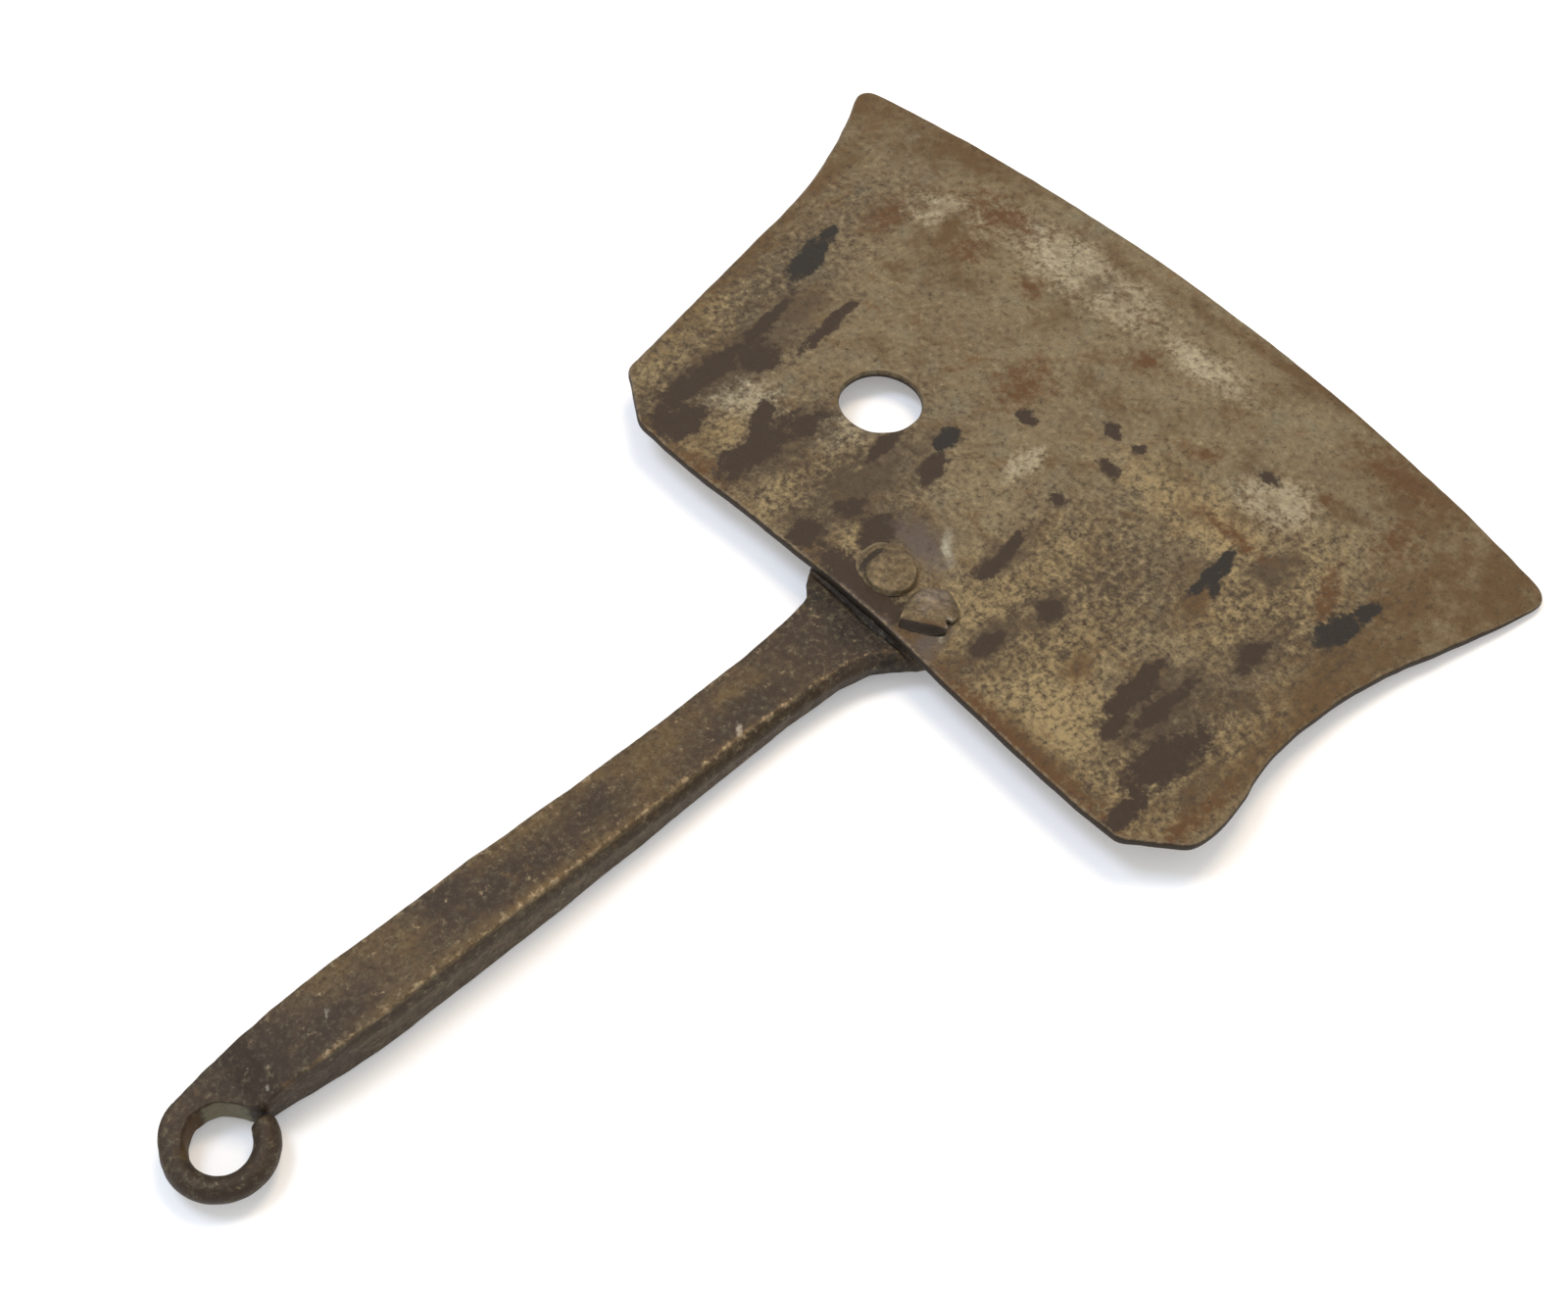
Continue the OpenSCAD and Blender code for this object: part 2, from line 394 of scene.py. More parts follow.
# %% Marks on the blade
MARKS = {
    "black": [
        (74, 100.5, 20, 6.5, 19), (85, 104.5, 7, 3, 19), (56, 31, 9, 5.5, 12),
        (75.5, -43, 19, 4, 8), (71, -47.5, 5, 3, 20), (85, -74.5, 14, 7.5, -5),
        (95, -76, 9, 5, 0),
    ],
    "patina": [
        (25, 87, 46, 7.5, 4), (49, 90.5, 28, 4, 12), (9, 79, 16, 12, -20),
        (39, 82.5, 13, 9, 0), (61, 79, 27, 4, 10), (17, 59.5, 30, 9.5, 5),
        (26, 66, 16, 5, 28), (33, 57, 16, 6, 0), (43, 39.5, 16, 4, 14),
        (8, 31.5, 12, 8, 0), (22, 30, 10, 6, 0), (46, 26, 15, 6, 22),
        (7, 10, 11, 34, 0), (22, 20, 14, 9, 20), (44, -5, 13, 4.5, 14), (35, -6.5, 10, 5, 0),
        (36, -25, 9, 6, 14), (17, -22, 12, 5, 0), (34, -54.5, 28, 6, 5), (23, -58, 11, 5, 14),
        (24, -73, 29, 10.5, -3), (6, -76.5, 18, 5.5, 4), (36, -62, 26, 5, 2),
        (63, -66, 14, 6, 10), (78, 23, 5, 6, 0), (63, -1.5, 5, 4, 0), (81, -3.5, 4, 8, 0),
        (91.5, 5, 5, 6, 0), (91.5, -4, 4, 4, 0), (110, -31, 5, 7, 0),
    ],
    "haze": [
        (27, 14, 14, 20, 20), (30, 34, 46, 16, 0), (36, -63, 34, 14, 0), (34, 86, 54, 14, 4),
        (60, 88, 26, 10, 10), (63, -67, 24, 9, 0), (132, -60, 9, 8, 0), (22, 56, 40, 13, 0),
        (18, -22, 22, 8, 0), (36, -24, 14, 8, 0), (40, -6, 20, 8, 10), (21, -83, 14, 8, 0),
        (52, -74, 7, 10, 0), (87, -52, 16, 10, 0),
    ],
    "rust": [
        (116, 16, 8, 7, 0), (127, 79, 11, 22, 10), (103, 99, 13, 8, 20), (110, 75, 9, 7, 0),
        (104, -16, 6, 5, 0), (115, -46, 4, 5, 0), (85, 31, 16, 12, 0), (88, -38, 4, 22, 4),
        (112, 55, 6, 8, 0), (3, 63, 5, 12, 0), (1.5, -44, 5, 56, 0), (118, -66, 14, 8, 0),
        (92, -66, 16, 5, 30), (14, -88, 26, 4, 0), (136, -52, 8, 20, 0),
    ],
    "silver": [
        (128, 50, 14, 40, 0), (116, 90, 11, 17, 20), (26, 76, 12, 17, 20),
        (22, 98, 18, 9, 0), (127, 4, 8, 22, 0), (30, 50, 34, 9, 0),
        (13, 44, 16, 8, -30), (104, -38, 14, 15, 10), (66, 12, 11, 5, 0),
    ],
    "gold": [
        (16, -48, 22, 36, 0), (32, -15, 48, 20, -4), (87, -32, 14, 44, 4),
        (78, -58, 40, 22, 0), (8, -54, 18, 44, 0), (26, -34, 44, 22, 0),
        (30, -82, 60, 14, 0), (20, 97, 32, 13, 0),
        (16, 45, 34, 16, 0), (12, 68, 20, 10, 0), (33, 103, 28, 8, 12), (14, 20, 12, 12, 0),
    ],
    "mottle": [
        (30, -24, 62, 40, 0), (30, -70, 66, 40, 0), (22, 40, 56, 54, 0),
        (20, 90, 58, 34, 0), (52, -30, 60, 50, 0), (78, -62, 50, 36, 0),
        (60, 100, 80, 22, 10),
    ],
    "brown": [
        (130, 138, 40, 26, -40), (130, -94, 60, 26, 10), (62, 114, 130, 11, 12),
        (60, -87, 110, 13, -2), (-1, 80, 10, 50, 0), (2, -50, 10, 64, 0),
        (138, 104, 14, 50, 8), (146, -30, 5, 110, 4), (112, 84, 22, 12, 10),
        (108, -80, 60, 20, 0), (70, -83, 60, 18, 4), (136, -62, 22, 34, 0), (3, -8, 8, 44, 0),
        (30, -40, 13, 8, 0), (66, -46, 16, 8, 20),
    ],
    "smear": [(8, -12.5, 12, 6, 20), (2.4, 4, 2.4, 36, 0), (27, 9, 8, 16, -10)],
    "scratch": [(30.8, 4.8, 11, 2.0, 50), (11.4, -12.8, 4, 1.6, 40)],
}
print("the blade has", sum(map(len, MARKS.values())), "marks of", len(MARKS), "kinds")


# %% Values on the points, and the blade
def oval_field(x, y, ovals, seed):
    """Highest value of these ovals at a point, with their sides pushed about."""
    x, y = x + 1.6 * uneven((x, y), 7, seed), y + 1.3 * uneven((x, y), 6, seed + 1)
    best = -1.0
    for cx, cy, length, width, turn in ovals:
        ca, sa = math.cos(math.radians(turn)), math.sin(math.radians(turn))
        along = ((x - cx) * ca + (y - cy) * sa) / (length / 2)
        across = ((y - cy) * ca - (x - cx) * sa) / (width / 2)
        best = max(best, 1 - math.hypot(along, across))
    return best


MIRROR_SUM = 38
underside = np.zeros(len(points), bool)
underside[-len(net):] = True
marks = {}
for seed, (mark, ovals) in enumerate(MARKS.items()):
    # The underside has marks of the same kinds, but elsewhere: these are mirrored.
    marks[mark] = [
        oval_field(p[0], MIRROR_SUM - p[1] if under else p[1], ovals, 20 + 2 * seed)
        for p, under in zip(points, underside)
    ]

marks["edge_line"] = edge_line
marks["edge_side"] = edge_side
blade = make_piece("blade_plate", points, faces, blade_to_row, marks)
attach(blade, "root")
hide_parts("blade")

# %% [markdown]
# ## The handle
# It is one bar. The smith flattened one end into the palm under the blade, left the
# middle thick for the hand, and drew the other end out and curled it round into the eye.
# So the mesh is made the same way: one section is carried along the whole bar and round
# the curl, and its corners move as it goes. A ring joined to a box would never flow.

# %% The bar's sides and heights along the tool
def along(*pairs):
    """Straight steps through a few (x, value) pairs, close enough to look smooth."""
    xs, values = zip(*pairs)
    return lambda x: float(np.interp(x, xs, values))


PALM_FROM, PALM_TO = 5.0, 30.0
PALM_LEFT, PALM_RIGHT = 24.5, 15.0
palm_mid = (PALM_LEFT - PALM_RIGHT) / 2
palm_half = (PALM_LEFT + PALM_RIGHT) / 2

bar_left = along((-176, 15), (-170, 14.7), (-150, 14.6), (-118, 14.2), (-90, 14.3),
                 (-62, 14.7), (-26, 15.4), (-12, 16.6), (-6, 17.5), (-4, 18.3),
                 (-1.6, 21.1), (0.4, 22.6), (3, 24.3), (5, 24.5))
bar_right = along((-176, -1.9), (-170, -2.5), (-160, -3.6), (-148, -4.5), (-100, -4.6),
                  (-60, -4.1), (-30, -3.9), (-14, -5.2), (-9.7, -6.4), (-6, -7.4), (-2.3, -9.6),
                  (1.3, -12.2), (5, -15))
top_right = along((-176, -2.4), (-150, -3.6), (-110, -3.6), (-90, -3), (-60, -2),
                  (-42, -1.2), (-18, -2.3), (-9, -3), (-5, -4.4), (-2.5, -5.9),
                  (0.1, -7.6), (3, -11), (5, -13))
bar_top = along((-186, 9.5), (-181, 10), (-174, 13), (-166, 14.6), (-155, 15.3),
                (-112, 15.4), (-90, 13.5), (-60, 11.5), (-30, 10.8), (-9, 10.7),
                (-4, 10.6), (-1, 10.5), (1, 10.2), (2.4, 9.2))
bar_bottom = along((-186, 1.5), (-181, 1.6), (-168, 0.3), (-150, 0.1), (-112, 0.1),
                   (-84, 0.6), (-30, 1.6), (-8, 3.2), (3, 3.4))

print("the palm is", 2 * palm_half, "mm wide, and the grip",
      round(bar_left(-100) - bar_right(-100), 1))


# %% The section at a place on the bar
SEAT_GAP = 0.05
PALM_T = 6
PALM_THINS_BY = 2.9


def under_blade(x):
    """The height of the blade's underside over x."""
    return LIFT - x * math.tan(SLOPE)


def bar_station(x):
    """The section across the bar at x: left and right ends, heights and roundings."""
    fan = min(max((x - PALM_FROM) / (PALM_TO - PALM_FROM), 0), 1)
    if fan > 0:
        half = palm_half * math.sqrt(max(1 - fan * fan, 0.0004))
        left, right, lip = palm_mid + half, palm_mid - half, palm_mid - half + 0.6
    else:
        left, right, lip = bar_left(x), bar_right(x), top_right(x)
    seat = ease(2.0, 2.8, x)
    top = bar_top(x) * (1 - seat) + (under_blade(x) - SEAT_GAP) * seat
    thin = PALM_T - PALM_THINS_BY * ease(2, 30, x)
    low_end = ease(-8, 4, x)
    bottom = bar_bottom(x) * (1 - low_end) + (under_blade(x) - thin) * low_end
    return dict(left=(x, left), right=(x, right), top=top, bottom=bottom,
                lip=max(lip - right, 0.2), drop=0.24 * (top - bottom),
                tuck=1.7 * (1 - low_end), soft=1.3, round=0.0)


# %% The curl
# Its outer and inner radius at each turn, in degrees and mm.
EYE_AT = np.array([-190.8, -0.3])
outer_r = along((100, 14.2), (115, 14.0), (130, 13.6), (145, 13.2), (160, 13.1),
                (215, 13.0), (290, 13.1), (320, 13.0), (358, 12.6))
inner_r = along((20, 8.0), (60, 8.3), (100, 8.0), (125, 7.4), (150, 6.9), (200, 6.8),
                (240, 6.9), (270, 6.9), (300, 6.7), (335, 6.4), (358, 6.9))
CURL_FROM, CURL_END = 100, 357


def curl_station(angle):
    """The section at a turn of the curl, with its left end outside."""
    outer = EYE_AT + polar(outer_r(angle), angle)
    inner = EYE_AT + polar(inner_r(angle), angle)
    # The tip was left blunt and a little rounded.
    tip = ease(CURL_END - 12, CURL_END, angle)
    middle = (outer + inner) / 2
    outer, inner = (p + (middle - p) * 0.5 * tip ** 3 for p in (outer, inner))
    low = 1.6 + 0.9 * ease(130, 240, angle)
    high = 9.5 - 0.5 * ease(130, 240, angle)
    return dict(left=outer, right=inner, top=high - 1.6 * tip ** 3, bottom=low + 1.0 * tip ** 3,
                lip=0.5, drop=1.4, tuck=0.0, soft=1.3, round=ease(115, 185, angle))


def between(a, b, t):
    """A section part of the way from one to another."""
    return {k: np.array(a[k]) * (1 - t) + np.array(b[k]) * t for k in a}


# %% All sections, from the palm to the eye's tip
stations = [bar_station(x) for x in PALM_TO * np.sin(np.radians(np.arange(89.5, 9, -3)))]
stations += [bar_station(x) for x in np.arange(3, -6, -0.3)]
stations += [bar_station(x) for x in np.arange(-6, -176, -0.8)]
# From the bar's shoulders onto the curl: the left side runs on almost straight, while
# the right side turns in round the eye.
LEFT_WAY = [(-176, 15), (-180, 15.2), (-184.5, 14.9), (-189, 14.2), (-193.5, 13.4)]
RIGHT_WAY = [(-176, -1.9), (-179.5, -1.4), (-181.6, 0.4), (-182.8, 2.6)]
RIGHT_WAY += [EYE_AT + polar(inner_r(a), a) for a in (40, 58, 76, 92)]
TURN_STEPS = 26
turn_from, turn_to = bar_station(-176), curl_station(CURL_FROM)
for step in range(1, TURN_STEPS):
    t = step / TURN_STEPS
    section = between(turn_from, turn_to, ease(0, 1, t))
    for end, way in (("left", LEFT_WAY), ("right", RIGHT_WAY)):
        way = np.array([*way, turn_to[end]], float)
        part = np.concatenate([[0], np.cumsum(np.hypot(*np.diff(way, axis=0).T))])
        section[end] = [np.interp(t * part[-1], part, way[:, k]) for k in (0, 1)]
    section["top"] = bar_top(section["left"][0] * 0.5 + section["right"][0] * 0.5)
    section["tuck"] = 1.7 * (1 - ease(0, 0.4, t))
    section["soft"] = 1.3 - 0.4 * ease(0, 0.4, t)
    stations.append(section)
stations += [curl_station(a) for a in np.linspace(CURL_FROM, CURL_END, 78)]
print("the handle has", len(stations), "sections")

# %% [markdown]
# ## One section
# Five corners make a section: two on top, one where the right flank bulges, and two
# below. A bevel modifier could round them, but the corners change width along the bar,
# so each is bent round here by its own amount. The flats between them get points as
# well, so that there is something for the hammer marks to move.

# %% Points of one section
CORNER_STEPS = 5
# For each corner: points on the flat after it, how wide it is bent, how much it is rubbed and
# lit by a painted highlight.
FLAT_STEPS = (14, 3, 6, 9, 6)
CORNER_SOFT = (1, 0.55, 1.6, 1.2, 1)
CORNER_WEAR_AND_HIGHLIGHT = (0.75, 1, 0.1, 0.15, 0.15)
ALMOST_HALF = 0.48


def toward(a, b, reach):
    """The point at this reach from a towards b."""
    return a + (b - a) / max(np.hypot(*(b - a)), 1e-6) * reach


def section_points(s):
    left, right = np.array(s["left"], float), np.array(s["right"], float)
    width = float(np.hypot(*(right - left)))
    across = (right - left) / max(width, 1e-6)
    top, bottom, tuck = float(s["top"]), float(s["bottom"]), float(s["tuck"])
    corners = np.array([
        (0, top), (width - s["lip"], top), (width, top - s["drop"]),
        (width - min(tuck * 0.55, width / 3), bottom), (min(tuck, width / 3) * 0.6, bottom),
    ], float)
    sides = [np.hypot(*(corners[(i + 1) % 5] - corners[i])) for i in range(5)]
    reaches = [min(float(s["soft"]) * CORNER_SOFT[i], ALMOST_HALF * sides[i - 1],
                   ALMOST_HALF * sides[i]) for i in range(5)]
    flats, worn = [], []
    for i, corner in enumerate(corners):
        following = corners[(i + 1) % 5]
        end = toward(corner, following, reaches[i])
        flats += bend(toward(corner, corners[i - 1], reaches[i]), corner, end, CORNER_STEPS)
        # A corner is rubbed most in its middle.
        worn += [CORNER_WEAR_AND_HIGHLIGHT[i] * (0.45 + 0.55 * math.sin(math.pi * k / CORNER_STEPS))
                 for k in range(CORNER_STEPS + 1)]
        goal = toward(following, corner, reaches[(i + 1) % 5])
        for k in range(1, FLAT_STEPS[i]):
            flats.append(end + (goal - end) * k / FLAT_STEPS[i])
            worn.append(0.0)
    # Round the curl the same points spread over an oval instead.
    centre, half = np.array([width / 2, (top + bottom) / 2]), np.array([width, top - bottom]) / 2
    turned = [np.arctan2(*((p - centre) / half)[::-1]) for p in flats]
    ovals = [centre + half * (math.cos(a), math.sin(a)) for a in turned]
    share = float(s["round"])
    flats = [p * (1 - share) + q * share for p, q in zip(flats, ovals)]
    return [(*(left + across * u), h) for u, h in flats], worn


# %% Join the sections
points, worn = [], []
for s in stations:
    ring, wear = section_points(s)
    points += ring
    # The rubbed corners end where the bar turns into the curl.
    fade = ease(-178, -160, s["left"][0]) * (1 - ease(-4, 1, s["left"][0]))
    fade *= 1 - 0.3 * ease(-90, -50, s["left"][0])
    worn += [w * fade for w in wear]
count = len(ring)
faces = []
for k in range(len(stations) - 1):
    faces += strip(k * count, (k + 1) * count, count)
faces += [list(range(count)), list(range(len(points) - count, len(points)))]
print("a section has", count, "points")

# %% Hammer marks, along the surface's own direction
HANDLE_INSET = 0.15
shape = np.array(points).reshape(len(stations), count, 3)
ahead = np.roll(shape, -1, axis=0) - np.roll(shape, 1, axis=0)
ahead[0], ahead[-1] = shape[1] - shape[0], shape[-1] - shape[-2]
round_it = np.roll(shape, -1, axis=1) - np.roll(shape, 1, axis=1)
normal = np.cross(round_it, ahead)
normal /= np.maximum(np.linalg.norm(normal, axis=2, keepdims=True), 1e-9)
middle = shape.mean(axis=1, keepdims=True)
if ((shape - middle) * normal).sum() < 0:
    normal = -normal
hammer = np.array([
    0.14 * uneven(p, 15, 31) + 0.11 * uneven(p, 6, 32) + 0.07 * uneven(p, 2.2, 33)
    - HANDLE_INSET for p in points
]).reshape(len(stations), count, 1)
# The palm was left calmer, as it has to seat under the blade.
calm = np.array([[[1 - 0.8 * ease(2, 4, p[0])] for p in ring] for ring in shape])
shape = shape + normal * hammer * calm
print("hammering moved the handle's points by up to", round(float(abs(hammer).max()), 2), "mm")

# %% Cold shuts
# These are cracks across the top, where the palm was folded and welded down. Each is a
# line of (y, x), its half width and its depth. Only points above CRACKS_ABOVE have them.
CRACKS_ABOVE = 8.5
TABLE_GAP = 0.02
CRACKS = [
    (((-11, 1.6), (-8, 2.4), (-3, 2.3), (0, 1.7), (4, 1.2), (12, 1.9), (20, 2.0)), 0.5, 1.1),
    (((-7.5, -0.3), (-4, 0.1), (-2.4, -0.1), (-0.8, 0.7), (1, 1.2)), 0.28, 0.8),
    (((2, 0.2), (5, -0.4), (8, -0.2), (11, 0.6)), 0.3, 0.45),
]
for way, half_width, depth in CRACKS:
    ys, xs = zip(*way)
    for ring in shape:
        for p in ring:
            if p[2] > CRACKS_ABOVE and ys[0] < p[1] < ys[-1]:
                crack_x = np.interp(p[1], ys, xs) + 0.8 * uneven((p[1], 0), 2.6, 35)
                away = abs(p[0] - crack_x)
                ends = min((p[1] - ys[0]) / 1.5, (ys[-1] - p[1]) / 1.5, 1)
                ends *= min(max((17 - p[1]) / 18, 0.3), 1)
                p[2] -= ends * depth * math.exp(-(away / half_width) ** 2)
                p[2] += 0.3 * uneven(p, 1.1, 36) * math.exp(-(away / 1.4) ** 2)
shape[..., 2] = np.maximum(shape[..., 2], TABLE_GAP)
points = shape.reshape(-1, 3).tolist()
print("the handle has", len(CRACKS), "cracks")

# %% Marks on the handle
HANDLE_MARKS = {
    "gold": [
        (-60, 9, 26, 10, 0), (-150, 12, 30, 6, 0), (-92, 12, 40, 5, 0), (-36, 8, 14, 6, 0),
        (-135, 5, 14, 7, 60), (-70, 3, 20, 6, 0), (-110, -2.6, 110, 3.4, 0),
    ],
    "dark": [
        (-4, 8, 34, 50, 0), (-178, 6, 30, 24, 0), (-34, 3, 34, 8, 0),
        (-110, 4, 36, 8, 0), (-160, 2, 24, 8, 0), (-120, 10, 16, 9, 0),
        (-80, 6, 16, 8, 0), (-195, -5, 36, 34, 0),
    ],
    # Painted shade along the blade's back edge, where the bar runs in under it.
    "painted_shade_at_blade_back": [
        (0.8, 4, 5, 40, 0), (-1.5, 13, 7, 16, 25), (-1, -6, 7, 14, -30), (-4, 3, 7, 12, 0),
    ],
    "chip": [(-42.6, 0.4, 3.4, 1.3, 50), (-157, 5, 2.6, 0.9, 30), (-176, 1, 1.6, 0.6, 60)],
}
marks = {mark: [oval_field(p[0], p[1], ovals, 40 + 2 * seed) for p in points]
         for seed, (mark, ovals) in enumerate(HANDLE_MARKS.items())}
marks["worn"] = worn
# The chamfer just under the rubbed corner is darkened, and the flank below it half as much.
first_chamfer = CORNER_STEPS + 1 + FLAT_STEPS[0] + CORNER_STEPS
last_chamfer = first_chamfer + FLAT_STEPS[1] + CORNER_STEPS - 1
flank_end = last_chamfer + FLAT_STEPS[2] + CORNER_STEPS
marks["chamfer"] = [(1.0 if i % count < last_chamfer else 0.5)
                    if first_chamfer < i % count < flank_end and p[0] < -20 else 0.0
                    for i, p in enumerate(points)]
# The eye's wall: grey scale where the bar ends, and rust in the tight left part.
wall = [ease(9.2, 8.6, np.hypot(*(EYE_AT - p[:2]))) * ease(9.2, 8.2, p[2]) for p in points]
turns = [math.degrees(math.atan2(p[1] - EYE_AT[1], p[0] - EYE_AT[0])) for p in points]
marks["wall_grey"] = [w * ease(0, 12, a) * ease(95, 70, a) for w, a in zip(wall, turns)]
marks["wall_rust"] = [w * ease(70, 100, a) * ease(179, 160, a) for w, a in zip(wall, turns)]
handle = make_piece("bar_handle", points, faces, to_row, marks)
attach(handle, "root")
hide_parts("handle")

# %% [markdown]
# ## The rivets
# Each rivet went in hot and its head was beaten flat over the blade. The left one
# folded over itself and left a lap, a curved crack with a thin lip outside it. The right
# one spread to a squared side. A spun profile would make both of them round. Here rings
# of points follow each head's own outline instead.

# %% Turn a rivet with an uneven head
RIVET_X = 15.0
SHANK_R = 3.175
PALM_AT_RIVET = 4.6
under = -PALM_AT_RIVET
# The shank, and the tail hammered over under the palm: (radius, height).
TAIL = ((SHANK_R, BLADE_T - 0.5), (SHANK_R, under + 0.4), (5.1, under + 0.2),
        (5.0, under - 0.7), (4.3, under - 1.3), (2.6, under - 1.7))
# These ovals are in the blade's own frame, so a rivet shows only those that fall on it.
RIVET_MARKS = {
    "rust": [(8.3, -9.3, 11, 2.6, -40)],
    "scrape": [(14, -13, 4, 2, 20), (19.5, -10, 3, 2, 60)],
    "grey": [(17, -4.5, 11, 9, 0)],
}


def make_rivet(name, y, edge, top, dark):
    """edge, top and dark give the head's reach by angle, its height, and its painted shade: in
    the left head's crack and on the right head's cut side.
    """
    sides = 120
    angles = np.linspace(0, 360, sides, endpoint=False)
    shares = np.sin(np.radians(np.linspace(3, 90, 26)))
    points, worn = [(RIVET_X, y, BLADE_T + top(0, 0, 0))], [0.0]
    for share in shares:
        for a in angles:
            px, py = polar(edge(a) * share, a)
            height = top(px, py, share)
            height += 0.34 * uneven((px, py), 2.8, 51) + 0.2 * uneven((px, py), 1.2, 52)
            points.append((RIVET_X + px, y + py, BLADE_T + max(height, -0.2)))
            worn.append(share ** 8)
    # The head's foot is sunk a little into the blade, so that no gap shows under it.
    for reach, z in ((None, BLADE_T - 0.3), *TAIL):
        for a in angles:
            px, py = polar(edge(a) * 1.01 if reach is None
                           else reach * (1 + 0.05 * uneven(polar(3, a), 2, 53)), a)
            points.append((RIVET_X + px, y + py, z + 0.1 * uneven((px, py, z), 2, 54)))
            worn.append(0.0)
    points.append((RIVET_X, y, under - 1.8))
    worn.append(0.0)
    faces = [(0, 1 + i, 1 + (i + 1) % sides) for i in range(sides)]
    rings = (len(points) - 2) // sides
    for k in range(rings - 1):
        faces += strip(1 + k * sides, 1 + (k + 1) * sides, sides)
    last = 1 + (rings - 1) * sides
    faces += [(len(points) - 1, last + i, last + (i + 1) % sides) for i in range(sides)]
    marks = {"worn": worn}
    for seed, (mark, ovals) in enumerate(RIVET_MARKS.items(), 55):
        marks[mark] = [oval_field(p[0], p[1], ovals, seed) for p in points]
    # Painted shade: the left head's crack and the right head's cut side are darkened.
    marks["painted_shade_in_crack_and_cut"] = [dark(p[0] - RIVET_X, p[1] - y) if p[2] > BLADE_T - 0.4 else 0.0
                          for p in points]
    piece = make_piece(name, points, faces, blade_to_row, marks)
    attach(piece, "root")
    return piece


# %% The left head
def around(*pairs):
    """A reach that changes round a head, through a few (degrees, mm) pairs."""
    turns, reaches = zip(*pairs)
    return lambda angle: float(np.interp(angle, turns, reaches, period=360))


left_disc = around((16, 6.7), (47, 6.3), (76, 6.0), (102, 5.9), (128, 6.5), (154, 6.8),
                   (179, 7.0), (205, 6.9), (228, 7.2), (244, 7.2), (273, 6.8), (303, 6.3),
                   (345, 6.4))
left_lip = around((0, 7.2), (21, 8.8), (39, 9.8), (58, 10.2), (80, 9.8), (102, 9.7),
                  (132, 8.6), (154, 7.2), (179, 7.1), (205, 7.0), (228, 7.3), (244, 7.3),
                  (273, 6.9), (303, 6.4), (345, 6.5))
# The crack's middle lies this far outside the disc, and its floor this high.
CRACK_OUT = 0.9
CRACK_FLOOR = 0.4
CRACK_W = 0.8


def left_top(x, y, share):
    """A lumpy disc, and outside it a low lip behind a crack, where the head folded over."""
    away = math.hypot(x, y)
    angle = math.degrees(math.atan2(y, x))
    disc = left_disc(angle)
    lip = 0.95 * (1 - ease(0.76, 1.0, share)) + 0.1 * (1 - share)
    height = 1.75 - 0.35 * (away / disc) ** 4
    height += (lip - height) * ease(disc - 0.5, disc + 0.25, away)
    crack = ease(45, 62, angle) * (1 - ease(122, 150, angle))
    depth = crack * math.exp(-((away - disc - CRACK_OUT) / CRACK_W) ** 2)
    return height * (1 - depth) + CRACK_FLOOR * depth


def left_crack(x, y):
    """1 in the crack between disc and lip: painted shade in the gap."""
    angle = math.degrees(math.atan2(y, x))
    away = math.hypot(x, y) - left_disc(angle) - CRACK_OUT
    open_part = ease(52, 72, angle) * (1 - ease(122, 150, angle))
    return open_part * math.exp(-(away / CRACK_W) ** 2)


left_rivet = make_rivet("rivet_left", 8.2, left_lip, left_top, left_crack)
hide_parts("left_rivet")

# %% The right head
SQUARE_DIR = 212
SQUARE_REACH = 8.2
right_head = around((22, 6.3), (48, 6.1), (80, 5.9), (115, 6.2), (135, 6.6), (152, 7.4),
                    (163, 8.6), (172, 10.2), (177, 10.2), (186, 9.3), (195, 8.8), (212, 8.5),
                    (231, 8.6), (241, 8.7), (249, 8.2), (255, 5.8), (262, 5.4), (267, 6.6),
                    (275, 6.9), (290, 6.7), (307, 6.3), (330, 5.9), (349, 5.8))
CUT_FROM = 6.6


def right_cut(x, y):
    """How far down the cut side a point is, from 0 on its upper edge to 1 at its foot; this
    darkens the side as painted shade.
    """
    return ease(CUT_FROM, CUT_FROM + 0.7, polar(1, SQUARE_DIR) @ (x, y))


def right_top(x, y, share):
    """A dome that stands tallest along its cut side and rolls down elsewhere."""
    ahead = polar(1, SQUARE_DIR) @ (x, y)
    part = ahead / SQUARE_REACH
    rolled = 1 - ease(0.1, 0.6, part)
    dome = 2.1 + 0.45 * part - 0.3 * share ** 2 - rolled * 1.2 * share ** 6
    return dome - 2.3 * ease(CUT_FROM, CUT_FROM + 2.0, ahead)


right_rivet = make_rivet("rivet_right", -5.9, right_head, right_top, right_cut)
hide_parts("right_rivet")

# %% [markdown]
# ## Colour and nodes
# Colours are written as they look on a screen, in sRGB hex, and turned to linear light
# once. Every node goes in by one small function.

# %% Helpers for finishes
def linear(hex_colour):
    parts = [int(hex_colour[i:i + 2], 16) / 255 for i in (1, 3, 5)]
    return [p / 12.92 if p <= 0.04045 else ((p + 0.055) / 1.055) ** 2.4 for p in parts] + [1]


def add(tree, kind, inputs=None, **settings):
    """Adds a node: settings are its own fields, inputs fill its sockets or link to them."""
    made = tree.nodes.new(kind)
    for field, value in settings.items():
        setattr(made, field, value)
    for socket, value in (inputs or {}).items():
        if isinstance(value, bpy.types.NodeSocket):
            tree.links.new(value, made.inputs[socket])
        else:
            made.inputs[socket].default_value = value
    return made


def per_metre(size_mm):
    """A noise texture's scale, for bumps of this size."""
    return 1 / (size_mm * MM)


